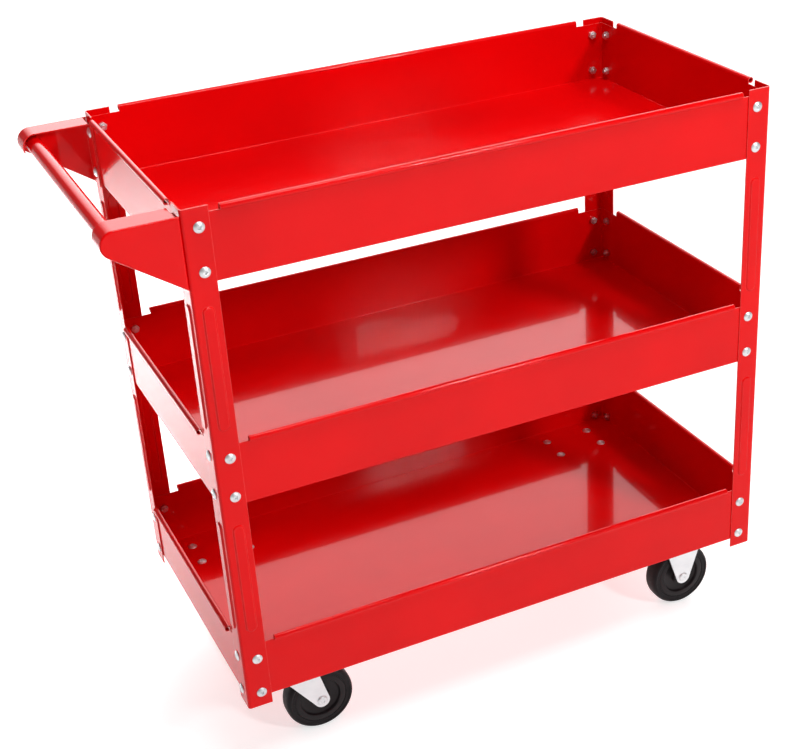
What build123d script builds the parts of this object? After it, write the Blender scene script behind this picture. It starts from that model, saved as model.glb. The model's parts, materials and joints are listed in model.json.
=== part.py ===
from build123d import *
import os
from math import cos, radians, sin, sqrt, tan

os.makedirs("parts", exist_ok=True)

# ---------------------------------------------------------------- driving dimensions (mm)
leg_span_x = 762.0          # outside of leg to outside of leg, along the cart
leg_span_y = 407.0          # outside of leg to outside of leg, across the cart
leg_height = 674.0
leg_foot_z = 102.0          # clearance from the floor to the feet of the legs
leg_flange = 32.0
leg_sheet = 1.5
leg_bend = 4.0              # outside bend radius

rib_width = 15.0
rib_height = 1.8
rib_taper = 45.0            # slope of the rib's walls, in degrees
rib_line = 17.5             # middle of the rib from the leg's outside corner
rib_spans = ((116.0, 272.0), (400.0, 558.0))    # ends of the ribs, above the leg's foot

tray_sheet = 1.0
tray_height = 90.0          # underside of the floor to the top of the curled rim
tray_floors = {"bottom": 114.0, "middle": 399.0, "top": 686.0}      # underside of each floor
tray_corner = 4.0           # outside radius of the upright corners
tray_fold = 2.2             # outside radius between floor and wall
curl_radius = 3.8           # outside radius of the curled rim
curl_start = 44.0           # ends of each curl from the leg's outside corner
curl_open = 55.0            # degrees left open between the rolled edge and the wall
notch_depth = 8.0           # the wall's corners end this far below the top of the curls

screw_line = 19.3           # screw centres from the leg's outside corner
screw_heights = {"bottom": (20.5, 72.5), "middle": (310.5, 363.0), "top": (598.5, 651.0)}
screw_radius = 3.0
screw_hole = 3.3
screw_point = 1.8           # screw end past the nut
head_radius = 6.6
head_height = 3.4
head_rim = 0.6              # straight edge under the dome of the head
recess_span = 6.6           # cross recess, tip to tip
recess_width = 1.3
recess_depth = 1.8
nut_flats = 10.0
nut_height = 5.0
nut_bore = 3.05
nut_chamfer = 0.7

handle_reach = 89.0         # nose of the handle from the outside of the handle-end legs
handle_top = 667.0          # top of the brackets above the leg's foot
handle_low = 581.0          # lowest corner of the brackets above the leg's foot
handle_sheet = 1.5
handle_bend = 3.0           # outside bend radius beside the leg
handle_edge = 2.0           # outside bend radius along the top and round the nose
handle_relief = 5.0         # the top flange stops this far short of the leg
handle_nose = 16.5          # outside radius of the nose
handle_flange = 34.0        # width of the flange along the top and round the nose
nose_wrap = 112.0           # degrees of the nose that the flange follows
end_flange = 30.0           # width of the flange bolted to the leg
bar_radius = 10.0
bar_wall = 1.5

caster_inset_y = 54.0       # caster centre from the outside of the legs, across the cart
swivel_inset_x = 82.0       # swivel caster centre from the outside of the handle-end legs
fixed_inset_x = 87.0        # fixed caster centre from the outside of the far legs
plate_length = 92.0
plate_width = 64.0
plate_sheet = 2.5
plate_corner = 8.0
plate_holes_x = 73.0
plate_holes_y = 45.0
wheel_radius = 47.0
tyre_width = 26.0
tyre_shoulder = 5.0
tyre_bore = 36.0
hub_band = 28.0             # inside radius of the hub's outer band
hub_band_width = 24.0
hub_web_width = 15.0
hub_boss = 13.0
hub_boss_width = 29.0
fork_gap = 31.0             # between the legs of a fork
fork_sheet = 2.5
fork_tip = 10.5             # radius of the leg's end round the axle
fork_bend = 4.0
caster_trail = 27.0         # axle behind the kingpin
crown_top = 106.0
crown_front = 27.0          # crown ahead of the kingpin
crown_back = 22.0
fixed_leg_half = 32.0       # half width of the fixed bracket's legs at the plate
race_radius = 14.0
race_half = 3.5
race_clear = 0.3            # balls to the turning half of the race
ball_radius = 2.5
ball_count = 12
kingpin_radius = 5.0
kingpin_head = 9.0
kingpin_head_height = 3.0
axle_radius = 4.0
axle_hole = 4.1
axle_head = 7.0
axle_head_height = 2.2
bushing_radius = 6.0
running_gap = 0.05          # radial clearance of a turning fit
end_play = 0.3              # clearance between faces that pass one another

# ---------------------------------------------------------------- worked out from them
half_x = leg_span_x / 2
half_y = leg_span_y / 2
tray_half_x = half_x - leg_sheet
tray_half_y = half_y - leg_sheet
curl_proud = 2 * curl_radius - tray_sheet - leg_sheet       # curl past the outside of the legs
cart_x = (handle_reach - curl_proud) / 2                    # middle of the trays from the origin
corner_grip = leg_sheet + tray_sheet                        # sheets held by a corner screw
handle_grip = corner_grip + handle_sheet
plate_bottom = tray_floors["bottom"] - plate_sheet
crown_bottom = crown_top - fork_sheet
ball_z = (plate_bottom + crown_top) / 2

# leg corners: side along X, side along Y, and the turn of the angle section
leg_corners = {
    "leg_handle_front": (-1, -1, 0),
    "leg_far_front": (1, -1, 90),
    "leg_far_back": (1, 1, 180),
    "leg_handle_back": (-1, 1, 270),
}
caster_spots = {
    "front_swivel": (cart_x - half_x + swivel_inset_x, caster_inset_y - half_y),
    "back_swivel": (cart_x - half_x + swivel_inset_x, half_y - caster_inset_y),
    "front_fixed": (cart_x + half_x - fixed_inset_x, caster_inset_y - half_y),
    "back_fixed": (cart_x + half_x - fixed_inset_x, half_y - caster_inset_y),
}


def save(builder, name):
    builder.part.label = name
    export_step(builder.part, f"parts/{name}.step")


def save_at(piece, name, spot):
    with BuildPart() as placed:
        with Locations(spot):
            add(piece.part)
    save(placed, name)


def corner_frame(side_x, side_y, turn, height):
    # origin on the leg's outside corner, X along one flange and Y along the other
    return Plane(
        origin=(cart_x + side_x * half_x, side_y * half_y, leg_foot_z + height),
        x_dir=(cos(radians(turn)), sin(radians(turn)), 0),
        z_dir=(0, 0, 1),
    )


def flange_planes(frame, distance):
    # one plane on the outside of each flange, Z outward and X upward
    along = frame.x_dir
    across = frame.y_dir
    return [
        Plane(origin=frame.origin + along * distance, x_dir=(0, 0, 1), z_dir=across * -1),
        Plane(origin=frame.origin + across * distance, x_dir=(0, 0, 1), z_dir=along * -1),
    ]


def screw_planes(level):
    planes = []
    for side_x, side_y, turn in leg_corners.values():
        for height in screw_heights[level]:
            planes += flange_planes(corner_frame(side_x, side_y, turn, height), screw_line)
    return planes


def on_handle(plane):
    # the screws that also hold the brackets point out of the handle end
    return plane.z_dir.X < -0.5 and plane.origin.Z > leg_foot_z + handle_low


# ---------------------------------------------------------------- trays
def build_tray(level):
    floor_z = tray_floors[level]
    rim_top = floor_z + tray_height
    roll_centre = curl_radius - tray_sheet
    with BuildPart() as tray:
        with BuildSketch(Plane.XY.offset(floor_z)):
            with Locations((cart_x, 0)):
                RectangleRounded(2 * tray_half_x, 2 * tray_half_y, tray_corner)
        extrude(amount=tray_height - curl_radius)
        fillet(tray.faces().sort_by(Axis.Z)[0].edges(), radius=tray_fold)
        offset(amount=-tray_sheet, openings=tray.faces().sort_by(Axis.Z)[-1])
        with BuildSketch(Plane.XY.offset(rim_top - notch_depth)):
            with Locations((cart_x, 0)):
                with GridLocations(2 * half_x, 2 * half_y, 2, 2):
                    Rectangle(2 * curl_start, 2 * curl_start)
        extrude(amount=notch_depth, mode=Mode.SUBTRACT)
        for wall_half, length, turn in (
            (tray_half_y, leg_span_x, 0),
            (tray_half_x, leg_span_y, 90),
            (tray_half_y, leg_span_x, 180),
            (tray_half_x, leg_span_y, 270),
        ):
            run = length - 2 * curl_start
            along = Vector(cos(radians(turn)), sin(radians(turn)), 0)
            outward = Vector(sin(radians(turn)), -cos(radians(turn)), 0)
            start = Vector(cart_x, 0, rim_top - curl_radius) + outward * wall_half - along * (run / 2)
            # sketch X points out of the wall and sketch Y up
            with BuildSketch(Plane(origin=start, x_dir=outward, z_dir=along * -1)):
                with Locations((roll_centre, 0)):
                    Circle(curl_radius)
                    Circle(curl_radius - tray_sheet, mode=Mode.SUBTRACT)
                with BuildLine():
                    wall_side = Line((roll_centre, 0), (roll_centre - 2 * curl_radius, 0))
                    free_side = PolarLine((roll_centre, 0), 3 * curl_radius, 180 + curl_open)
                    Line(wall_side @ 1, free_side @ 1)
                make_face(mode=Mode.SUBTRACT)
            extrude(amount=-run)
        with Locations(*screw_planes(level)):
            Hole(screw_hole, depth=corner_grip + 1)
        if level == "bottom":
            for spot in caster_spots.values():
                with Locations((*spot, floor_z + tray_sheet)):
                    with GridLocations(plate_holes_x, plate_holes_y, 2, 2):
                        Hole(screw_hole, depth=2 * tray_sheet)
    save(tray, f"{level}_tray")


for tray_level in tray_floors:
    build_tray(tray_level)


# ---------------------------------------------------------------- legs
def build_leg(name):
    frame = corner_frame(*leg_corners[name], 0)
    with BuildPart() as leg:
        with BuildSketch(frame) as angle:
            Rectangle(leg_flange, leg_sheet, align=(Align.MIN, Align.MIN))
            Rectangle(leg_sheet, leg_flange, align=(Align.MIN, Align.MIN))
            fillet(angle.vertices().sort_by_distance((0, 0, 0))[0], radius=leg_bend)
            inner_corner = angle.vertices().sort_by_distance((leg_sheet, leg_sheet, 0))[0]
            fillet(inner_corner, radius=leg_bend - leg_sheet)
        extrude(amount=leg_height)
        for low, high in rib_spans:
            middle = corner_frame(*leg_corners[name], (low + high) / 2)
            for plane in flange_planes(middle, rib_line):
                with BuildSketch(plane):
                    SlotOverall(high - low, rib_width)
                extrude(amount=rib_height, taper=rib_taper)
                with BuildSketch(plane.offset(-leg_sheet)):
                    # narrower inside, so that the sloping walls keep the sheet's thickness
                    inset = 2 * leg_sheet * tan(radians(rib_taper / 2))
                    SlotOverall(high - low - inset, rib_width - inset)
                extrude(amount=rib_height, taper=rib_taper, mode=Mode.SUBTRACT)
        for heights in screw_heights.values():
            for height in heights:
                screw_frame = corner_frame(*leg_corners[name], height)
                with Locations(*flange_planes(screw_frame, screw_line)):
                    Hole(screw_hole, depth=leg_sheet + 1)
    save(leg, name)


for leg_name in leg_corners:
    build_leg(leg_name)

# ---------------------------------------------------------------- handle
nose_x = handle_nose - handle_reach
nose_z = handle_top - handle_nose
front_corner = corner_frame(*leg_corners["leg_handle_front"], 0).origin
side_plane = Plane(origin=front_corner, x_dir=(1, 0, 0), z_dir=(0, -1, 0))
end_plane = Plane(origin=front_corner, x_dir=(0, 0, 1), z_dir=(-1, 0, 0))
bracket_height = handle_top - handle_low

with BuildPart() as handle_bracket_front:
    # a solid of the outside, its bends rounded, is hollowed from behind to the sheet
    with BuildSketch(side_plane):
        with Locations((nose_x, nose_z)):
            Circle(handle_nose)
        with Locations((0, handle_low)):
            Rectangle(handle_sheet, bracket_height, align=(Align.MAX, Align.MIN))
        make_hull()
    extrude(amount=-handle_flange)
    plate_face = handle_bracket_front.faces().filter_by(Axis.Y).sort_by(Axis.Y)[0]
    nose_edge = plate_face.edges().filter_by(GeomType.CIRCLE)
    top_edge = plate_face.edges().sort_by(Axis.Z)[-1]
    fillet([*nose_edge, top_edge], radius=handle_edge)
    with BuildSketch(Plane(origin=front_corner, z_dir=(0, 0, 1))) as bracket_plan:
        Rectangle(handle_reach, handle_flange, align=(Align.MAX, Align.MIN))
        fillet(bracket_plan.vertices().sort_by_distance((0, 0, 0))[0], radius=handle_bend)
    extrude(amount=leg_height, mode=Mode.INTERSECT)
    with BuildSketch(side_plane.offset(-handle_sheet)):
        with Locations((nose_x, nose_z)):
            Circle(handle_nose - handle_sheet)
        with BuildLine():
            wrap_end = PolarLine((nose_x, nose_z), 4 * handle_nose, 90 + nose_wrap)
            Polyline(
                wrap_end @ 1,
                (-2 * handle_reach, handle_low - handle_nose),
                (-handle_sheet, handle_low - handle_nose),
                (-handle_sheet, handle_top - handle_sheet),
                (nose_x, handle_top - handle_sheet),
                (nose_x, nose_z),
            )
        make_face()
    extrude(amount=-handle_flange, mode=Mode.SUBTRACT)
    # the end flange is narrower than the top one, and a slot parts the two
    low_corner = (Align.MIN, Align.MIN)
    with BuildSketch(end_plane.offset(-handle_sheet)):
        with Locations((handle_low, 0)):
            Rectangle(bracket_height, 2 * handle_flange, align=low_corner)
            Rectangle(bracket_height - handle_relief, end_flange, align=low_corner, mode=Mode.SUBTRACT)
            Rectangle(bracket_height, handle_bend, align=low_corner, mode=Mode.SUBTRACT)
    extrude(amount=handle_sheet + handle_relief, mode=Mode.SUBTRACT)
    with Locations(*[plane.offset(handle_sheet) for plane in screw_planes("top") if on_handle(plane)]):
        Hole(screw_hole, depth=handle_sheet + 1)
save(handle_bracket_front, "handle_bracket_front")

with BuildPart() as handle_bracket_back:
    mirror(handle_bracket_front.part, about=Plane.XZ)
save(handle_bracket_back, "handle_bracket_back")

bar_half = half_y - handle_sheet
with BuildPart() as handle_bar:
    with BuildSketch(Plane(origin=(0, bar_half, leg_foot_z), x_dir=(1, 0, 0), z_dir=(0, -1, 0))):
        with Locations((front_corner.X + nose_x, nose_z)):
            Circle(bar_radius)
            Circle(bar_radius - bar_wall, mode=Mode.SUBTRACT)
    extrude(amount=2 * bar_half)
save(handle_bar, "handle_bar")


# ---------------------------------------------------------------- screws and nuts
def build_screw(grip):
    # under the head at the origin, head towards +Z
    shank = grip + nut_height + screw_point
    dome_rise = head_height - head_rim
    dome_radius = (head_radius**2 + dome_rise**2) / (2 * dome_rise)
    dome_drop = dome_radius - sqrt(dome_radius**2 - head_radius**2 / 4)
    with BuildPart() as screw:
        with BuildSketch(Plane.XZ):
            with BuildLine():
                Polyline(
                    (0, head_height),
                    (0, -shank),
                    (screw_radius - nut_chamfer, -shank),
                    (screw_radius, nut_chamfer - shank),
                    (screw_radius, 0),
                    (head_radius, 0),
                    (head_radius, head_rim),
                )
                half_way = (head_radius / 2, head_height - dome_drop)
                ThreePointArc((head_radius, head_rim), half_way, (0, head_height))
            make_face()
        revolve(axis=Axis.Z)
        with BuildSketch(Plane.XY.offset(head_height)):
            Rectangle(recess_span, recess_width)
            Rectangle(recess_width, recess_span)
        extrude(amount=-recess_depth, mode=Mode.SUBTRACT)
    return screw


def build_nut():
    # top face at the origin, body towards -Z
    corner_radius = nut_flats / 2 / cos(radians(30))
    with BuildPart() as nut:
        with BuildSketch():
            RegularPolygon(nut_flats / 2, 6, major_radius=False)
            Circle(nut_bore, mode=Mode.SUBTRACT)
        extrude(amount=-nut_height)
        with BuildSketch(Plane.XZ):
            with BuildLine():
                Polyline(
                    (0, 0),
                    (corner_radius, 0),
                    (corner_radius, nut_chamfer - nut_height),
                    (corner_radius - nut_chamfer, -nut_height),
                    (0, -nut_height),
                    (0, 0),
                )
            make_face()
        revolve(axis=Axis.Z, mode=Mode.INTERSECT)
    return nut


def place_group(piece, planes, name):
    with BuildPart() as group:
        with Locations(*planes):
            add(piece.part)
    save(group, name)


corner_screw = build_screw(corner_grip)
handle_screw = build_screw(handle_grip)
caster_screw = build_screw(tray_sheet + plate_sheet)
hex_nut = build_nut()

for screw_level in screw_heights:
    planes = [plane for plane in screw_planes(screw_level) if not on_handle(plane)]
    place_group(corner_screw, planes, f"{screw_level}_tray_screws")
    inner_planes = [plane.offset(-corner_grip) for plane in screw_planes(screw_level)]
    place_group(hex_nut, inner_planes, f"{screw_level}_tray_nuts")
handle_planes = [plane.offset(handle_sheet) for plane in screw_planes("top") if on_handle(plane)]
place_group(handle_screw, handle_planes, "handle_screws")

caster_planes = []
for spot_x, spot_y in caster_spots.values():
    for grid_place in GridLocations(plate_holes_x, plate_holes_y, 2, 2):
        hole = Vector(spot_x, spot_y, tray_floors["bottom"] + tray_sheet) + grid_place.position
        caster_planes.append(Plane(origin=hole, z_dir=(0, 0, 1)))
place_group(caster_screw, caster_planes, "caster_screws")
place_group(hex_nut, [plane.offset(-tray_sheet - plate_sheet) for plane in caster_planes], "caster_nuts")


# ---------------------------------------------------------------- casters
def build_fork_legs(leg_top, front, back, axle_x):
    # two legs bent down from a flat top, their straight sides closing on a round end
    half_width = fork_gap / 2 + fork_sheet
    with BuildPart() as legs:
        with BuildSketch(Plane.XZ.offset(-half_width)):
            with Locations((axle_x, wheel_radius)):
                Circle(fork_tip)
            with Locations(((back - front) / 2, leg_top)):
                Rectangle(front + back, fork_sheet, align=(Align.CENTER, Align.MAX))
            make_hull()
        extrude(amount=2 * half_width)
        with BuildSketch(Plane.YZ.offset(axle_x)):
            # only its top pair of corners is in the sheet, as the inside of the bends
            with Locations((0, -fork_sheet)):
                RectangleRounded(fork_gap, 2 * leg_top, fork_bend - fork_sheet)
        extrude(amount=2 * leg_top, both=True, mode=Mode.SUBTRACT)
        fillet(legs.edges().filter_by(Axis.X).group_by(Axis.Z)[-1], radius=fork_bend)
        with Locations(Plane(origin=(axle_x, -half_width, wheel_radius), z_dir=(0, -1, 0))):
            Hole(axle_hole, depth=2 * half_width)
    return legs


swivel_legs = build_fork_legs(crown_top, crown_front, crown_back, caster_trail)
fixed_legs = build_fork_legs(plate_bottom, fixed_leg_half, fixed_leg_half, 0)

with BuildPart() as swivel_plate:
    with BuildSketch(Plane.XY.offset(plate_bottom)):
        RectangleRounded(plate_length, plate_width, plate_corner)
    extrude(amount=plate_sheet)
    with BuildSketch(Plane.XY.offset(plate_bottom)):
        Circle(race_radius + race_half)
        Circle(race_radius - race_half, mode=Mode.SUBTRACT)
    extrude(amount=ball_z + end_play - plate_bottom)
    with BuildSketch(Plane.XZ):
        with Locations((race_radius, ball_z)):
            Circle(ball_radius + running_gap)
    revolve(axis=Axis.Z, mode=Mode.SUBTRACT)
    with Locations((0, 0, plate_bottom + plate_sheet)):
        Hole(kingpin_radius, depth=plate_sheet)
        with GridLocations(plate_holes_x, plate_holes_y, 2, 2):
            Hole(screw_hole, depth=plate_sheet)

with BuildPart() as race_balls:
    with Locations((0, 0, ball_z)):
        with PolarLocations(race_radius, ball_count):
            Sphere(ball_radius)

with BuildPart() as kingpin:
    with BuildSketch(Plane.XY.offset(plate_bottom + plate_sheet)):
        Circle(kingpin_radius)
    extrude(amount=crown_bottom - end_play - plate_bottom - plate_sheet)
    with BuildSketch(Plane.XY.offset(crown_bottom - end_play)):
        Circle(kingpin_head)
    extrude(amount=-kingpin_head_height)
    fillet(kingpin.edges().group_by(Axis.Z)[0], radius=kingpin_head_height / 2)

with BuildPart() as swivel_fork:
    add(swivel_legs.part)
    with BuildSketch(Plane.XY.offset(crown_top)):
        Circle(race_radius + race_half)
        Circle(race_radius - race_half, mode=Mode.SUBTRACT)
    extrude(amount=ball_z - end_play - crown_top)
    with BuildSketch(Plane.XZ):
        with Locations((race_radius, ball_z)):
            Circle(ball_radius + race_clear)
    revolve(axis=Axis.Z, mode=Mode.SUBTRACT)
    with Locations((0, 0, crown_top)):
        Hole(kingpin_radius + running_gap, depth=2 * fork_sheet)

with BuildPart() as fixed_bracket:
    add(fixed_legs.part)
    with BuildSketch(Plane.XY.offset(plate_bottom)):
        RectangleRounded(plate_length, plate_width, plate_corner)
    extrude(amount=plate_sheet)
    with Locations((0, 0, plate_bottom + plate_sheet)):
        with GridLocations(plate_holes_x, plate_holes_y, 2, 2):
            Hole(screw_hole, depth=plate_sheet)

# wheel pieces stand on the wheel's centre, with the axle along Y
rivet_half = fork_gap / 2 + fork_sheet
rivet_round = axle_head_height * 0.6
with BuildPart() as axle:
    with BuildSketch(Plane.XZ.offset(-rivet_half)):
        Circle(axle_radius)
    extrude(amount=2 * rivet_half)
    for side in (-1, 1):
        with BuildSketch(Plane(origin=(0, side * rivet_half, 0), z_dir=(0, side, 0))):
            Circle(axle_head)
        extrude(amount=axle_head_height)
    fillet(axle.edges().group_by(Axis.Y)[0], radius=rivet_round)
    fillet(axle.edges().group_by(Axis.Y)[-1], radius=rivet_round)

with BuildPart() as bushing:
    with BuildSketch(Plane.XZ.offset(-fork_gap / 2)):
        Circle(bushing_radius)
        Circle(axle_hole, mode=Mode.SUBTRACT)
    extrude(amount=fork_gap)

with BuildPart() as hub:
    with BuildSketch():
        for inner, outer, width in (
            (bushing_radius + running_gap, hub_boss, hub_boss_width),
            (hub_boss, hub_band, hub_web_width),
            (hub_band, tyre_bore, hub_band_width),
        ):
            with Locations((inner, 0)):
                Rectangle(outer - inner, width, align=(Align.MIN, Align.CENTER))
    revolve(axis=Axis.Y)

with BuildPart() as tyre:
    with BuildSketch() as tyre_profile:
        with Locations((tyre_bore, 0)):
            Rectangle(wheel_radius - tyre_bore, tyre_width, align=(Align.MIN, Align.CENTER))
        fillet(tyre_profile.vertices().group_by(Axis.X)[-1], radius=tyre_shoulder)
    revolve(axis=Axis.Y)

for caster, (spot_x, spot_y) in caster_spots.items():
    swivels = caster.endswith("swivel")
    if swivels:
        save_at(swivel_plate, f"{caster}_plate", (spot_x, spot_y, 0))
        save_at(race_balls, f"{caster}_race_balls", (spot_x, spot_y, 0))
        save_at(kingpin, f"{caster}_kingpin", (spot_x, spot_y, 0))
        save_at(swivel_fork, f"{caster}_fork", (spot_x, spot_y, 0))
    else:
        save_at(fixed_bracket, f"{caster}_bracket", (spot_x, spot_y, 0))
    wheel_centre = (spot_x + (caster_trail if swivels else 0), spot_y, wheel_radius)
    save_at(axle, f"{caster}_axle", wheel_centre)
    save_at(bushing, f"{caster}_bushing", wheel_centre)
    save_at(hub, f"{caster}_hub", wheel_centre)
    save_at(tyre, f"{caster}_tyre", wheel_centre)
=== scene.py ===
import json
import math

import bpy
from mathutils import Matrix, Vector


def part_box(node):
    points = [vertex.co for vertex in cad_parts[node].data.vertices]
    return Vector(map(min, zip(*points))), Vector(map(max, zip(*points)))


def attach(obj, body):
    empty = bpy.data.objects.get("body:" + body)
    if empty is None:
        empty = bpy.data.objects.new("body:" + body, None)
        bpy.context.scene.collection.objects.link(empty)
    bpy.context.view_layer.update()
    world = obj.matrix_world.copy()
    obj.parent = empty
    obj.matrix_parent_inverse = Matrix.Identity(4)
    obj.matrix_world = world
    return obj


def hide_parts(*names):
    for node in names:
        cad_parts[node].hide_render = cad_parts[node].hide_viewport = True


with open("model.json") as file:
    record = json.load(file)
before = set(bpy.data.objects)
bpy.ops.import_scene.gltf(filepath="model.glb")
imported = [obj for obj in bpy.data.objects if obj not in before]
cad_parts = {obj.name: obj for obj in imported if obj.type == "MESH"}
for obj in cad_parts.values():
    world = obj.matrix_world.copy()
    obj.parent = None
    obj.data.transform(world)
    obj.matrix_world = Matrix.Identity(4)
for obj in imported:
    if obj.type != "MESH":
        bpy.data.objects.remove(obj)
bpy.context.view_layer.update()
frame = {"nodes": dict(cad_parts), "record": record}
cadNodes = frame["nodes"]
print("frame loaded:", len(cadNodes), "nodes")

mm = 0.001


def deselectAll():
    if bpy.context.object and bpy.context.object.mode != "OBJECT":
        bpy.ops.object.mode_set(mode="OBJECT")
    bpy.ops.object.select_all(action="DESELECT")


def startPiece(name):
    # renames what was just added and opens it for editing with all of it selected
    piece = bpy.context.object
    piece.name = name
    piece.data.name = name
    bpy.ops.object.mode_set(mode="EDIT")
    bpy.ops.mesh.select_mode(type="VERT")
    bpy.ops.mesh.select_all(action="SELECT")
    return piece


def selectFaces(piece, wanted):
    # selects the faces for which wanted(centre, normal) is true
    bpy.ops.mesh.select_mode(type="FACE")
    bpy.ops.mesh.select_all(action="DESELECT")
    bpy.ops.object.mode_set(mode="OBJECT")
    for face in piece.data.polygons:
        face.select = wanted(face.center, face.normal)
    bpy.ops.object.mode_set(mode="EDIT")


def placeMesh(piece):
    # the place goes into the mesh, and the object stays at the origin
    deselectAll()
    piece.select_set(True)
    bpy.context.view_layer.objects.active = piece
    bpy.ops.object.transform_apply(location=True, rotation=True, scale=True)


def finishPiece(piece, bevelWidth, segments=2, angle=35):
    deselectAll()
    piece.select_set(True)
    bpy.context.view_layer.objects.active = piece
    if bevelWidth:
        bevel = piece.modifiers.new("bevel", "BEVEL")
        bevel.width = bevelWidth
        bevel.segments = segments
        bevel.limit_method = "ANGLE"
        bevel.angle_limit = math.radians(angle)
        bevel.use_clamp_overlap = True
        bpy.ops.object.modifier_apply(modifier=bevel.name)
    bpy.ops.object.shade_smooth_by_angle(angle=math.radians(angle))


def cleanMesh(piece):
    bpy.context.view_layer.objects.active = piece
    bpy.ops.object.mode_set(mode="EDIT")
    bpy.ops.mesh.select_all(action="SELECT")
    bpy.ops.mesh.remove_doubles(threshold=0.00001)
    bpy.ops.mesh.normals_make_consistent(inside=False)
    bpy.ops.object.mode_set(mode="OBJECT")


def spinProfile(name, profile, steps):
    # draws a closed outline point by point, radius along X and width along Y, and spins it about Y
    deselectAll()
    radius, width = profile[0]
    bpy.ops.mesh.primitive_plane_add(size=mm, location=(0, 0, 0))
    piece = startPiece(name)
    bpy.ops.mesh.merge(type="CENTER")
    bpy.ops.transform.translate(value=(radius, width, 0))
    for nextRadius, nextWidth in profile[1:] + [profile[0]]:
        step = (nextRadius - radius, nextWidth - width, 0)
        bpy.ops.mesh.extrude_region_move(TRANSFORM_OT_translate={"value": step})
        radius, width = nextRadius, nextWidth
    bpy.ops.mesh.select_all(action="SELECT")
    bpy.ops.mesh.spin(steps=steps, angle=2 * math.pi, center=(0, 0, 0), axis=(0, 1, 0))
    bpy.ops.object.mode_set(mode="OBJECT")
    cleanMesh(piece)
    return piece


def copyTo(piece, name, matrix):
    # a copy with its own mesh, its place in the mesh
    twin = piece.copy()
    twin.data = piece.data.copy()
    twin.name = name
    twin.data.name = name
    bpy.context.scene.collection.objects.link(twin)
    twin.data.transform(matrix)
    return twin


def joinPieces(pieces, name):
    deselectAll()
    for piece in pieces:
        piece.select_set(True)
    bpy.context.view_layer.objects.active = pieces[0]
    bpy.ops.object.join()
    joined = bpy.context.object
    joined.name = name
    joined.data.name = name
    return joined


def removePiece(piece):
    bpy.data.meshes.remove(piece.data)


def middle(node):
    low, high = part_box(node)
    return (Vector(low) + Vector(high)) / 2


# shader node groups, each built once and used by several finishes
def newGroup(name, inputs, outputs):
    group = bpy.data.node_groups.new(name, "ShaderNodeTree")
    for title, kind, value in inputs:
        socket = group.interface.new_socket(name=title, in_out="INPUT", socket_type=kind)
        if value is not None:
            socket.default_value = value
    for title, kind in outputs:
        group.interface.new_socket(name=title, in_out="OUTPUT", socket_type=kind)
    entry = group.nodes.new("NodeGroupInput")
    leave = group.nodes.new("NodeGroupOutput")
    return group, entry.outputs, leave.inputs


def bumpSurface(tree, shader, height, edges, strength, distance):
    # raises the surface by a height, over the rounded normal of the edges
    bump = tree.nodes.new("ShaderNodeBump")
    bump.inputs["Strength"].default_value = strength
    bump.inputs["Distance"].default_value = distance
    tree.links.new(height, bump.inputs["Height"])
    tree.links.new(edges.outputs["Normal"], bump.inputs["Normal"])
    tree.links.new(bump.outputs["Normal"], shader.inputs["Normal"])


def mathNode(tree, operation, first, second, clamp=False):
    node = tree.nodes.new("ShaderNodeMath")
    node.operation = operation
    node.use_clamp = clamp
    for socket, value in zip(node.inputs, (first, second)):
        if isinstance(value, (int, float)):
            socket.default_value = value
        else:
            tree.links.new(value, socket)
    return node.outputs[0]


def noiseNode(tree, vector, scale, detail=2.0, roughness=0.5):
    node = tree.nodes.new("ShaderNodeTexNoise")
    node.inputs["Detail"].default_value = detail
    node.inputs["Roughness"].default_value = roughness
    if isinstance(scale, (int, float)):
        node.inputs["Scale"].default_value = scale
    else:
        tree.links.new(scale, node.inputs["Scale"])
    tree.links.new(vector, node.inputs["Vector"])
    return node.outputs["Fac"]


def rangeNode(tree, value, low, high, outLow=0.0, outHigh=1.0):
    node = tree.nodes.new("ShaderNodeMapRange")
    node.inputs["From Min"].default_value = low
    node.inputs["From Max"].default_value = high
    node.inputs["To Min"].default_value = outLow
    node.inputs["To Max"].default_value = outHigh
    tree.links.new(value, node.inputs["Value"])
    return node.outputs["Result"]


def mixColour(tree, factor, first, second):
    node = tree.nodes.new("ShaderNodeMix")
    node.data_type = "RGBA"
    for socket, value in ((node.inputs[0], factor), (node.inputs[6], first), (node.inputs[7], second)):
        if isinstance(value, (int, float, tuple)):
            socket.default_value = value
        else:
            tree.links.new(value, socket)
    return node.outputs[2]


def makeEdgeGroup():
    # where a bend or cut edge is, broken up by grain, and the normal rounded over it; on the red paint this
    # mask carries a painted highlight
    inputs = [("Vector", "NodeSocketVector", None), ("Width", "NodeSocketFloat", 0.001),
              ("Grain", "NodeSocketFloat", 300.0)]
    outputs = [("Mask", "NodeSocketFloat"), ("Normal", "NodeSocketVector")]
    group, entry, leave = newGroup("bevelledEdgeMask", inputs, outputs)
    rounded = group.nodes.new("ShaderNodeBevel")
    rounded.samples = 6
    group.links.new(entry["Width"], rounded.inputs["Radius"])
    surface = group.nodes.new("ShaderNodeNewGeometry")
    facing = group.nodes.new("ShaderNodeVectorMath")
    facing.operation = "DOT_PRODUCT"
    group.links.new(rounded.outputs["Normal"], facing.inputs[0])
    group.links.new(surface.outputs["True Normal"], facing.inputs[1])
    turned = mathNode(group, "SUBTRACT", 1.0, facing.outputs["Value"])
    edge = rangeNode(group, turned, 0.02, 0.25)
    grain = rangeNode(group, noiseNode(group, entry["Vector"], entry["Grain"], 3.0), 0.3, 0.6, 0.35, 1.0)
    group.links.new(mathNode(group, "MULTIPLY", edge, grain, True), leave["Mask"])
    group.links.new(rounded.outputs["Normal"], leave["Normal"])
    return group


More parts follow.
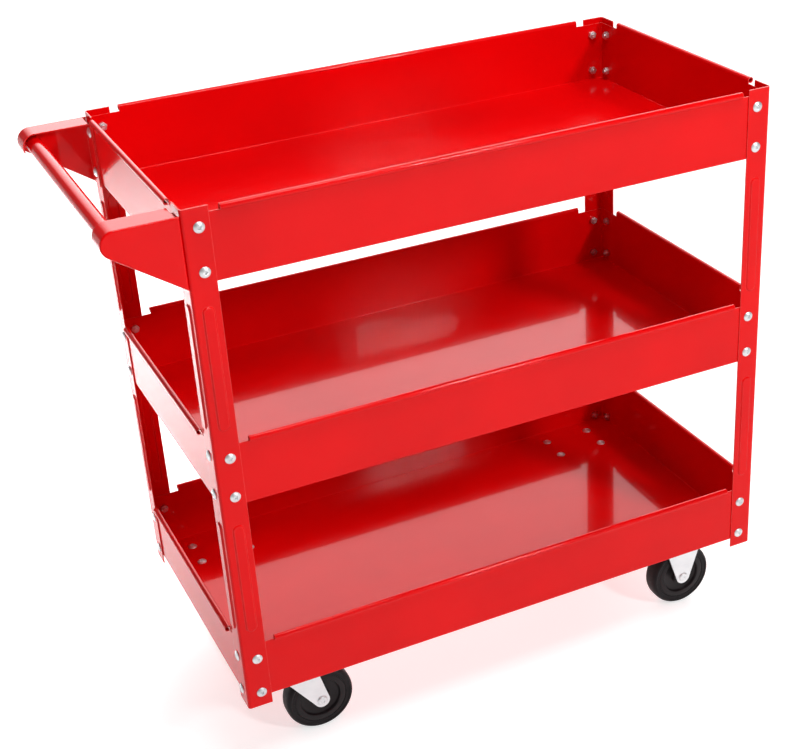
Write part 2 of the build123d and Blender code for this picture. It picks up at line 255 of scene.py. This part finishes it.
def makePeelGroup():
    # the fine waviness of sprayed or moulded skin, with a few settled specks
    inputs = [("Vector", "NodeSocketVector", None), ("Scale", "NodeSocketFloat", 400.0),
              ("Specks", "NodeSocketFloat", 0.2)]
    group, entry, leave = newGroup("skinPeel", inputs, [("Height", "NodeSocketFloat")])
    wave = noiseNode(group, entry["Vector"], entry["Scale"], 1.5, 0.4)
    fineScale = mathNode(group, "MULTIPLY", entry["Scale"], 4.3)
    fine = noiseNode(group, entry["Vector"], fineScale, 1.0)
    speckScale = mathNode(group, "MULTIPLY", entry["Scale"], 0.35)
    spots = group.nodes.new("ShaderNodeTexVoronoi")
    group.links.new(entry["Vector"], spots.inputs["Vector"])
    group.links.new(speckScale, spots.inputs["Scale"])
    speck = rangeNode(group, spots.outputs["Distance"], 0.0, 0.09, 1.0, 0.0)
    raised = mathNode(group, "MULTIPLY", speck, entry["Specks"])
    skin = mathNode(group, "ADD", wave, mathNode(group, "MULTIPLY", fine, 0.25))
    group.links.new(mathNode(group, "ADD", skin, raised), leave["Height"])
    return group


def makeHandlingGroup():
    # soft smears and faint cloudiness left by wiping and handling
    inputs = [("Vector", "NodeSocketVector", None), ("Scale", "NodeSocketFloat", 6.0)]
    outputs = [("Smear", "NodeSocketFloat"), ("Cloud", "NodeSocketFloat")]
    group, entry, leave = newGroup("handling", inputs, outputs)
    stretch = group.nodes.new("ShaderNodeMapping")
    stretch.inputs["Scale"].default_value = (1.0, 1.0, 3.5)
    stretch.inputs["Rotation"].default_value = (0.3, 0.5, 0.2)
    group.links.new(entry["Vector"], stretch.inputs["Vector"])
    smearScale = mathNode(group, "MULTIPLY", entry["Scale"], 5.0)
    smear = noiseNode(group, stretch.outputs["Vector"], smearScale, 5.0, 0.6)
    cloud = noiseNode(group, entry["Vector"], entry["Scale"], 3.0, 0.5)
    group.links.new(rangeNode(group, smear, 0.35, 0.75), leave["Smear"])
    group.links.new(rangeNode(group, cloud, 0.3, 0.7), leave["Cloud"])
    return group


edgeGroup = makeEdgeGroup()
peelGroup = makePeelGroup()
handlingGroup = makeHandlingGroup()


def placeGroup(tree, group, coordinates, **values):
    node = tree.nodes.new("ShaderNodeGroup")
    node.node_tree = group
    tree.links.new(coordinates, node.inputs["Vector"])
    for key, value in values.items():
        node.inputs[key].default_value = value
    return node


def newFinish(name, metallic, roughness):
    material = bpy.data.materials.new(name)
    material.use_nodes = True
    tree = material.node_tree
    shader = tree.nodes["Principled BSDF"]
    shader.inputs["Metallic"].default_value = metallic
    shader.inputs["Roughness"].default_value = roughness
    coordinates = tree.nodes.new("ShaderNodeTexCoord").outputs["Object"]
    return material, tree, shader, coordinates


# the pale pink edge colour is a painted highlight along bends and cut edges
redPaint = {"colour": (0.74, 0.001, 0.002, 1), "deep": (0.62, 0.001, 0.002, 1), "clouds": 5.0,
            "wearAndHighlight": (1.0, 0.34, 0.30, 1), "edge": 0.0007, "edgeGrain": 220.0, "highlightStrength": 0.8,
            "gloss": 0.12, "smeared": 0.2, "peel": 350.0, "specks": 0.5, "waviness": 8.0, "waveDepth": 14.0,
            "strength": 0.03, "rise": 0.0004, "ior": 1.13, "coat": 0.22, "coatRough": 0.03, "coatIor": 1.5}


def makePaint():
    material, tree, shader, coordinates = newFinish("redEnamel", 0.0, redPaint["gloss"])
    edges = placeGroup(tree, edgeGroup, coordinates, Width=redPaint["edge"], Grain=redPaint["edgeGrain"])
    handled = placeGroup(tree, handlingGroup, coordinates, Scale=redPaint["clouds"])
    peel = placeGroup(tree, peelGroup, coordinates, Scale=redPaint["peel"], Specks=redPaint["specks"])
    body = mixColour(tree, handled.outputs["Cloud"], redPaint["colour"], redPaint["deep"])
    # painted highlight: the edge mask lightens the paint to pale pink along bends and cut edges
    wearAndHighlight = mathNode(tree, "MULTIPLY", edges.outputs["Mask"], redPaint["highlightStrength"])
    tree.links.new(mixColour(tree, wearAndHighlight, body, redPaint["wearAndHighlight"]), shader.inputs["Base Color"])
    rough = rangeNode(tree, handled.outputs["Smear"], 0.0, 1.0, redPaint["gloss"], redPaint["smeared"])
    tree.links.new(rough, shader.inputs["Roughness"])
    # the sheet's own slow waviness lies under the orange peel
    ripple = noiseNode(tree, coordinates, redPaint["waviness"])
    wave = mathNode(tree, "MULTIPLY", ripple, redPaint["waveDepth"])
    height = mathNode(tree, "ADD", peel.outputs["Height"], wave)
    bumpSurface(tree, shader, height, edges, redPaint["strength"], redPaint["rise"])
    shader.inputs["Coat Weight"].default_value = redPaint["coat"]
    shader.inputs["Coat Roughness"].default_value = redPaint["coatRough"]
    shader.inputs["Coat IOR"].default_value = redPaint["coatIor"]
    shader.inputs["IOR"].default_value = redPaint["ior"]
    return material


zincPlate = {"colour": (0.76, 0.76, 0.77, 1), "cool": (0.62, 0.63, 0.65, 1), "bright": (0.85, 0.86, 0.88, 1),
             "clouds": 22.0, "edge": 0.0007, "edgeGrain": 500.0, "polished": 0.40, "dull": 0.58,
             "grain": 900.0, "grainStretch": (0.12, 1.0, 1.0), "strength": 0.06, "rise": 0.0001}


def makeZinc():
    material, tree, shader, coordinates = newFinish("zincPlate", 1.0, zincPlate["dull"])
    edges = placeGroup(tree, edgeGroup, coordinates, Width=zincPlate["edge"], Grain=zincPlate["edgeGrain"])
    handled = placeGroup(tree, handlingGroup, coordinates, Scale=zincPlate["clouds"])
    grain = tree.nodes.new("ShaderNodeMapping")
    grain.inputs["Scale"].default_value = zincPlate["grainStretch"]
    tree.links.new(coordinates, grain.inputs["Vector"])
    lines = noiseNode(tree, grain.outputs["Vector"], zincPlate["grain"], 3.0, 0.6)
    body = mixColour(tree, handled.outputs["Cloud"], zincPlate["colour"], zincPlate["cool"])
    shade = mixColour(tree, edges.outputs["Mask"], body, zincPlate["bright"])
    tree.links.new(shade, shader.inputs["Base Color"])
    brushed = rangeNode(tree, lines, 0.2, 0.8, 0.6, 1.2)
    dulled = mathNode(tree, "MULTIPLY", handled.outputs["Smear"], brushed)
    rough = rangeNode(tree, dulled, 0.0, 1.0, zincPlate["polished"], zincPlate["dull"])
    tree.links.new(rough, shader.inputs["Roughness"])
    bumpSurface(tree, shader, lines, edges, zincPlate["strength"], zincPlate["rise"])
    return material


moulding = {"edge": 0.0008, "edgeGrain": 350.0, "clouds": 28.0, "specks": 0.3, "dulling": 0.2, "rise": 0.0002}


def makeMoulded(name, look):
    # moulded nylon or rubber: fine grain, faint wear at its edges and thin patches of dust
    material, tree, shader, coordinates = newFinish(name, 0.0, look["rough"])
    edges = placeGroup(tree, edgeGroup, coordinates, Width=moulding["edge"], Grain=moulding["edgeGrain"])
    handled = placeGroup(tree, handlingGroup, coordinates, Scale=moulding["clouds"])
    peel = placeGroup(tree, peelGroup, coordinates, Scale=look["grain"], Specks=moulding["specks"])
    body = mixColour(tree, handled.outputs["Cloud"], look["colour"], look["dusty"])
    tree.links.new(mixColour(tree, edges.outputs["Mask"], body, look["wearAndHighlight"]), shader.inputs["Base Color"])
    shader.inputs["Specular IOR Level"].default_value = look["shine"]
    dull = look["rough"] + moulding["dulling"]
    rough = rangeNode(tree, handled.outputs["Smear"], 0.0, 1.0, look["rough"], dull)
    tree.links.new(rough, shader.inputs["Roughness"])
    bumpSurface(tree, shader, peel.outputs["Height"], edges, look["grainDepth"], moulding["rise"])
    return material


rubberLook = {"colour": (0.006, 0.004, 0.005, 1), "dusty": (0.012, 0.009, 0.010, 1),
              "wearAndHighlight": (0.04, 0.034, 0.034, 1), "grain": 700.0, "grainDepth": 0.25,
              "rough": 0.42, "shine": 0.15}
nylonLook = {"colour": (0.007, 0.004, 0.005, 1), "dusty": (0.012, 0.008, 0.009, 1),
             "wearAndHighlight": (0.04, 0.03, 0.032, 1), "grain": 1100.0, "grainDepth": 0.15,
             "rough": 0.33, "shine": 0.18}

finishes = {
    "red_paint": makePaint(),
    "zinc_plate": makeZinc(),
    "black_rubber": makeMoulded("tyreRubber", rubberLook),
    "black_nylon": makeMoulded("hubNylon", nylonLook),
}
print("finishes made:", len(finishes))


def paint(piece, slotName):
    piece.data.materials.clear()
    piece.data.materials.append(finishes[slotName])


for part in frame["record"]["subparts"]:
    for place in cadNodes[part["node"]].material_slots:
        place.material = finishes[part["material_slot"]]

# millimetres, and degrees for the sweep of the dome
screwLook = {"headRadius": 6.6, "headHeight": 3.1, "rim": 0.8, "sides": 40, "rings": 7, "domeSweep": 78,
             "recessSpan": 7.4, "recessWidth": 1.9, "recessDepth": 1.9, "recessTaper": (0.55, 0.8, 1),
             "shankRadius": 3.0, "threadDepth": 0.35, "pitch": 1.0, "tip": 0.7, "tipTaper": 0.8,
             "pastNut": 1.8, "bevel": 0.12}


def domeHead(screw):
    # carries the top of the rim up to the crown in rings
    radius, height, rings = screwLook["headRadius"], screwLook["headHeight"], screwLook["rings"]
    selectFaces(screw, lambda centre, normal: normal.z > 0.9)
    rise = height - screwLook["rim"]
    domeRadius = (radius**2 + rise**2) / (2 * rise)
    wide, low = radius, screwLook["rim"]
    for ring in range(1, rings + 1):
        nextWide = radius * math.cos(math.radians(screwLook["domeSweep"] * ring / rings))
        nextLow = height - domeRadius + math.sqrt(domeRadius**2 - nextWide**2)
        bpy.ops.mesh.extrude_region_move(TRANSFORM_OT_translate={"value": (0, 0, (nextLow - low) * mm)})
        shrink = nextWide / wide
        bpy.ops.transform.resize(value=(shrink, shrink, 1), center_override=(0, 0, nextLow * mm))
        wide, low = nextWide, nextLow


def drawShank(screw, grip, shankLength):
    # plain through the sheets, then threaded to a short tapered tip
    shankRadius, step = screwLook["shankRadius"], screwLook["pitch"] / 2
    selectFaces(screw, lambda centre, normal: normal.z < -0.9)
    bpy.ops.mesh.inset(thickness=(screwLook["headRadius"] - shankRadius) * mm)
    bpy.ops.mesh.extrude_region_move(TRANSFORM_OT_translate={"value": (0, 0, -grip * mm)})
    root = (shankRadius - screwLook["threadDepth"]) / shankRadius
    depth = grip
    while depth < shankLength - screwLook["tip"]:
        for shrink in (root, 1 / root):
            depth += step
            bpy.ops.mesh.extrude_region_move(TRANSFORM_OT_translate={"value": (0, 0, -step * mm)})
            bpy.ops.transform.resize(value=(shrink, shrink, 1), center_override=(0, 0, -depth * mm))
    bpy.ops.mesh.extrude_region_move(TRANSFORM_OT_translate={"value": (0, 0, (depth - shankLength) * mm)})
    taper = screwLook["tipTaper"]
    bpy.ops.transform.resize(value=(taper, taper, 1), center_override=(0, 0, -shankLength * mm))


def cutAway(piece, cutter, name):
    # takes the cutter's shape out of the piece, and the cutter away
    cut = piece.modifiers.new(name, "BOOLEAN")
    cut.operation = "DIFFERENCE"
    cut.object = cutter
    deselectAll()
    bpy.context.view_layer.objects.active = piece
    bpy.ops.object.modifier_apply(modifier=cut.name)
    removePiece(cutter)


def cutRecess(screw):
    # two tapered slots across each other
    top = (0, 0, screwLook["headHeight"] * mm)
    size = (screwLook["recessSpan"], screwLook["recessWidth"], 2 * screwLook["recessDepth"])
    deselectAll()
    for turn in (0, 90):
        bpy.ops.mesh.primitive_cube_add(size=mm, location=top)
        cutter = startPiece("recessCutter")
        bpy.ops.transform.resize(value=size, center_override=top)
        selectFaces(cutter, lambda centre, normal: normal.z < -0.9)
        bpy.ops.transform.resize(value=screwLook["recessTaper"])
        bpy.ops.object.mode_set(mode="OBJECT")
        cutter.rotation_euler.z = math.radians(turn)
        placeMesh(cutter)
        cutAway(screw, cutter, "recess")


def makeScrew(grip, shankLength):
    # its head is towards +Z, with the underside on the origin
    deselectAll()
    radius, rim = screwLook["headRadius"] * mm, screwLook["rim"] * mm
    bpy.ops.mesh.primitive_cylinder_add(vertices=screwLook["sides"], radius=radius, depth=rim,
                                        location=(0, 0, rim / 2))
    screw = startPiece("screwMaster")
    placeMesh(screw)
    bpy.ops.object.mode_set(mode="EDIT")
    domeHead(screw)
    drawShank(screw, grip, shankLength)
    cutRecess(screw)
    finishPiece(screw, screwLook["bevel"] * mm, angle=30)
    return screw


nutLook = {"flats": 10.0, "height": 5.0, "bore": 3.05, "boreSides": 32, "bevel": 0.45}


def makeNut():
    # top face on the origin, body towards -Z
    deselectAll()
    corner = nutLook["flats"] / 2 / math.cos(math.radians(30))
    bpy.ops.mesh.primitive_cylinder_add(vertices=6, radius=corner * mm, depth=nutLook["height"] * mm,
                                        location=(0, 0, -nutLook["height"] * mm / 2))
    nut = bpy.context.object
    nut.name = "nutMaster"
    placeMesh(nut)
    deselectAll()
    bpy.ops.mesh.primitive_cylinder_add(vertices=nutLook["boreSides"], radius=nutLook["bore"] * mm,
                                        depth=3 * nutLook["height"] * mm)
    drill = bpy.context.object
    placeMesh(drill)
    cutAway(nut, drill, "bore")
    finishPiece(nut, nutLook["bevel"] * mm, segments=3, angle=40)
    return nut


# millimetres: each tray's screws are at two heights above the legs' feet
legLayout = {"ribHeight": 1.8, "screwLine": 19.3, "grip": 2.5, "bracketSheet": 1.5,
             "bottom": (20.5, 72.5), "middle": (310.5, 363.0), "top": (598.5, 651.0)}
legNames = ["leg_handle_front", "leg_far_front", "leg_far_back", "leg_handle_back"]


def legCorner(name):
    # the leg's outside corner at its foot, and which way it faces
    low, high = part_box(name)
    here, whole = middle(name), middle("bottom_tray")
    facing = Vector((1 if here.x > whole.x else -1, 1 if here.y > whole.y else -1, 0))
    outX = (high[0] if facing.x > 0 else low[0]) - facing.x * legLayout["ribHeight"] * mm
    outY = (high[1] if facing.y > 0 else low[1]) - facing.y * legLayout["ribHeight"] * mm
    return Vector((outX, outY, low[2])), facing


def aimed(place, outward, spin):
    # a matrix that puts a piece at a place, its +Z outward, turned by spin about it
    turn = Vector(outward).to_track_quat("Z", "Y").to_matrix().to_4x4()
    return Matrix.Translation(place) @ turn @ Matrix.Rotation(math.radians(spin), 4, "Z")


def cornerPlaces(level, inset):
    # where the fasteners of a tray's four corners go, inset from the outside of the legs
    places = []
    for name in legNames:
        corner, facing = legCorner(name)
        for height in legLayout[level]:
            for axis, other in ((0, 1), (1, 0)):
                place = corner + Vector((0, 0, height * mm))
                place[other] -= facing[other] * legLayout["screwLine"] * mm
                outward = Vector((0, 0, 0))
                outward[axis] = facing[axis]
                onBracket = level == "top" and axis == 0 and facing.x < 0
                places.append((place - outward * inset * mm, outward, onBracket))
    return places


casterLook = {"holesX": 73.0, "holesY": 45.0, "traySheet": 1.0, "plateSheet": 2.5}


def casterPlaces():
    # the screws of each caster stand at the corners of its plate
    places = []
    for name in ("front_swivel_plate", "back_swivel_plate", "front_fixed_bracket", "back_fixed_bracket"):
        low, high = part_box(name)
        centre = middle(name)
        for alongX in (-1, 1):
            for alongY in (-1, 1):
                spotX = centre.x + alongX * casterLook["holesX"] * mm / 2
                spotY = centre.y + alongY * casterLook["holesY"] * mm / 2
                places.append((Vector((spotX, spotY, high[2])), Vector((0, 0, 1)), False))
    return places


def placeFasteners(master, places, name, node, turnStep):
    # every one is tightened to a different angle, as real ones are
    copies = []
    for count, (place, outward, onBracket) in enumerate(places):
        spin = (count * turnStep) % 90
        copies.append(copyTo(master, name, aimed(place, outward, spin)))
    group = joinPieces(copies, name)
    paint(group, "zinc_plate")
    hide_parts(node)
    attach(group, "cart")


# degrees from one head or nut of a set to the next
tightening = {"corner": 37, "cornerNut": 23, "bracket": 41, "caster": 31, "casterNut": 17}


def makeFasteners():
    sheets = legLayout["grip"]
    bracketGrip = sheets + legLayout["bracketSheet"]
    plateGrip = casterLook["traySheet"] + casterLook["plateSheet"]
    threaded = nutLook["height"] + screwLook["pastNut"]
    cornerScrew = makeScrew(sheets, sheets + threaded)
    bracketScrew = makeScrew(bracketGrip, bracketGrip + threaded)
    plateScrew = makeScrew(plateGrip, plateGrip + threaded)
    nut = makeNut()
    for level in ("bottom", "middle", "top"):
        plain = [place for place in cornerPlaces(level, 0.0) if not place[2]]
        inside = cornerPlaces(level, sheets)
        screwNode, nutNode = level + "_tray_screws", level + "_tray_nuts"
        placeFasteners(cornerScrew, plain, level + "TrayScrewSet", screwNode, tightening["corner"])
        placeFasteners(nut, inside, level + "TrayNutSet", nutNode, tightening["cornerNut"])
    bracketed = [place for place in cornerPlaces("top", -legLayout["bracketSheet"]) if place[2]]
    placeFasteners(bracketScrew, bracketed, "bracketScrewSet", "handle_screws", tightening["bracket"])
    lift = Vector((0, 0, casterLook["traySheet"] * mm))
    heads = [(place + lift, outward, flag) for place, outward, flag in casterPlaces()]
    placeFasteners(plateScrew, heads, "casterScrewSet", "caster_screws", tightening["caster"])
    drop = Vector((0, 0, casterLook["plateSheet"] * mm))
    below = [(place - drop, outward, flag) for place, outward, flag in casterPlaces()]
    placeFasteners(nut, below, "casterNutSet", "caster_nuts", tightening["casterNut"])
    for master in (cornerScrew, bracketScrew, plateScrew, nut):
        removePiece(master)


makeFasteners()
print("screws and nuts made")

# millimetres, and degrees for how each wheel has rolled to a stop
wheelLook = {"tyreHalf": 13.0, "hubHalf": 14.4, "crown": 47.0, "web": 7.5, "seat": 11.9, "steps": 96,
             "stopped": {"swivel": 20, "fixed": 65}}
axleLook = {"half": 18.0, "neck": 4.0, "head": 7.0, "steps": 48}


def mirrored(halfProfile):
    # radius and width of one side, then the other side back again
    return halfProfile + [(radius, -width) for radius, width in reversed(halfProfile)]


def makeTyre():
    half = wheelLook["tyreHalf"]
    side = [(36.05, half - 1.6), (36.5, half - 1.1), (40.6, half - 1.1), (41.2, half - 0.35),
            (42.0, half), (43.2, half - 0.15), (44.6, half - 1.2), (45.8, half - 2.9),
            (46.6, half - 5.4), (46.9, half - 8.5)]
    profile = mirrored([(radius * mm, width * mm) for radius, width in side])
    profile.insert(len(side), (wheelLook["crown"] * mm, 0))
    tyre = spinProfile("tyreMaster", profile, wheelLook["steps"])
    finishPiece(tyre, 0, angle=40)
    return tyre


def makeHub():
    half, web, seat = wheelLook["hubHalf"], wheelLook["web"], wheelLook["seat"]
    side = [(6.06, half - 0.6), (6.5, half), (11.2, half), (12.6, half - 0.8),
            (13.2, web + 1.1), (14.2, web), (25.6, web), (26.9, web + 0.8),
            (27.8, seat - 0.7), (28.6, seat), (35.0, seat), (35.9, seat - 0.6)]
    profile = mirrored([(radius * mm, width * mm) for radius, width in side])
    hub = spinProfile("hubMaster", profile, wheelLook["steps"])
    finishPiece(hub, 0, angle=40)
    return hub


def makeAxle():
    # a rivet whose two cupped heads are peened over the fork
    half, neck, head = axleLook["half"], axleLook["neck"], axleLook["head"]
    side = [(0.02, half + 1.0), (2.1, half + 1.05), (2.7, half + 1.7), (3.6, half + 2.15), (5.0, half + 2.05),
            (6.3, half + 1.35), (head, half + 0.45), (head, half), (neck, half), (neck, half - 2.5)]
    profile = mirrored([(radius * mm, width * mm) for radius, width in side])
    axle = spinProfile("axleMaster", profile, axleLook["steps"])
    finishPiece(axle, 0, angle=40)
    return axle


def makeWheels():
    tyre, hub, axle = makeTyre(), makeHub(), makeAxle()
    for side in ("front", "back"):
        for kind in ("swivel", "fixed"):
            caster = side + "_" + kind
            spin = Matrix.Rotation(math.radians(wheelLook["stopped"][kind]), 4, "Y")
            carrier = caster + "_caster" if kind == "swivel" else "cart"
            for master, node, slotName, body in ((tyre, "tyre", "black_rubber", caster + "_wheel"),
                                                 (hub, "hub", "black_nylon", caster + "_wheel"),
                                                 (axle, "axle", "zinc_plate", carrier)):
                place = Matrix.Translation(middle(caster + "_" + node)) @ spin
                piece = copyTo(master, caster + node.capitalize(), place)
                paint(piece, slotName)
                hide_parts(caster + "_" + node)
                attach(piece, body)
    for master in (tyre, hub, axle):
        removePiece(master)


makeWheels()
print("wheels and axles made")

cameraSetup = {"place": (-0.7252, -1.7273, 1.3689), "aim": (0.0406, -0.0410, 0.3790), "roll": -3.19,
               "lens": 70.46, "sensor": 36, "shift": (-0.0701, 0.0206), "nearest": 0.05}


def makeCamera():
    place = Vector(cameraSetup["place"])
    look = (Vector(cameraSetup["aim"]) - place).to_track_quat("-Z", "Y")
    turn = look.to_matrix() @ Matrix.Rotation(math.radians(cameraSetup["roll"]), 3, "Z")
    bpy.ops.object.camera_add(location=place, rotation=turn.to_euler())
    camera = bpy.context.object
    camera.data.sensor_width = cameraSetup["sensor"]
    camera.data.lens = cameraSetup["lens"]
    camera.data.shift_x, camera.data.shift_y = cameraSetup["shift"]
    camera.data.clip_start = cameraSetup["nearest"]
    bpy.context.scene.camera = camera


studio = {"dim": 0.2, "bright": 4.4, "brightWay": (0.41, 0.82, 0.40), "fade": (0.80, 0.96),
          "paleness": 0.97,
          "key": 62.0, "keyPlace": (1.5, -3.2, 2.4), "keySize": 0.42,
          "top": 24.0, "topPlace": (0.1, -0.7, 2.3), "topSize": 0.8, "aim": (0, 0, 0.4),
          "pool": 34.0, "poolPlace": (-1.0, 1.2, 1.8), "poolSize": 0.6, "poolSpread": 70,
          "floorSize": 60, "floorPale": (0.62, 0.63, 0.63, 1), "floorGrey": (0.59, 0.60, 0.60, 1),
          "floorClouds": 1.5, "floorRough": 0.55, "floorGlow": 0.62}


def addSoftbox(name, place, aim, power, size):
    turn = (Vector(aim) - Vector(place)).to_track_quat("-Z", "Y")
    bpy.ops.object.light_add(type="AREA", location=place, rotation=turn.to_euler())
    light = bpy.context.object
    light.name = name
    light.data.energy = power
    light.data.size = size


def makeWorld():
    # bright from one side and dim all round
    world = bpy.data.worlds.new("studio")
    world.use_nodes = True
    tree = world.node_tree
    way = tree.nodes.new("ShaderNodeVectorMath")
    way.operation = "DOT_PRODUCT"
    tree.links.new(tree.nodes.new("ShaderNodeTexCoord").outputs["Generated"], way.inputs[0])
    way.inputs[1].default_value = studio["brightWay"]
    strength = rangeNode(tree, way.outputs["Value"], *studio["fade"], studio["dim"], studio["bright"])
    # what is seen past the floor is as pale as the floor
    seen = tree.nodes.new("ShaderNodeMix")
    tree.links.new(tree.nodes.new("ShaderNodeLightPath").outputs["Is Camera Ray"], seen.inputs[0])
    tree.links.new(strength, seen.inputs[2])
    seen.inputs[3].default_value = studio["paleness"]
    tree.links.new(seen.outputs[0], tree.nodes["Background"].inputs["Strength"])
    tree.nodes["Background"].inputs["Color"].default_value = (1, 1, 1, 1)
    bpy.context.scene.world = world


def makeFloor():
    bpy.ops.mesh.primitive_plane_add(size=studio["floorSize"], location=(0, 0, 0))
    floor = bpy.context.object
    floor.name = "floor"
    floorPaint, tree, shader, coordinates = newFinish("paleFloor", 0.0, studio["floorRough"])
    clouds = noiseNode(tree, coordinates, studio["floorClouds"])
    shade = mixColour(tree, clouds, studio["floorPale"], studio["floorGrey"])
    tree.links.new(shade, shader.inputs["Base Color"])
    shader.inputs["Emission Color"].default_value = (1, 1, 1, 1)
    shader.inputs["Emission Strength"].default_value = studio["floorGlow"]
    floor.data.materials.append(floorPaint)


def makeStudio():
    makeWorld()
    addSoftbox("keyLight", studio["keyPlace"], studio["aim"], studio["key"], studio["keySize"])
    addSoftbox("topLight", studio["topPlace"], studio["aim"], studio["top"], studio["topSize"])
    poolAim = (studio["poolPlace"][0], studio["poolPlace"][1], 0)
    addSoftbox("backgroundLight", studio["poolPlace"], poolAim, studio["pool"], studio["poolSize"])
    bpy.context.object.data.spread = math.radians(studio["poolSpread"])
    makeFloor()
    bpy.context.scene.view_settings.view_transform = "Standard"


deselectAll()
makeCamera()
makeStudio()
print("camera and studio set")
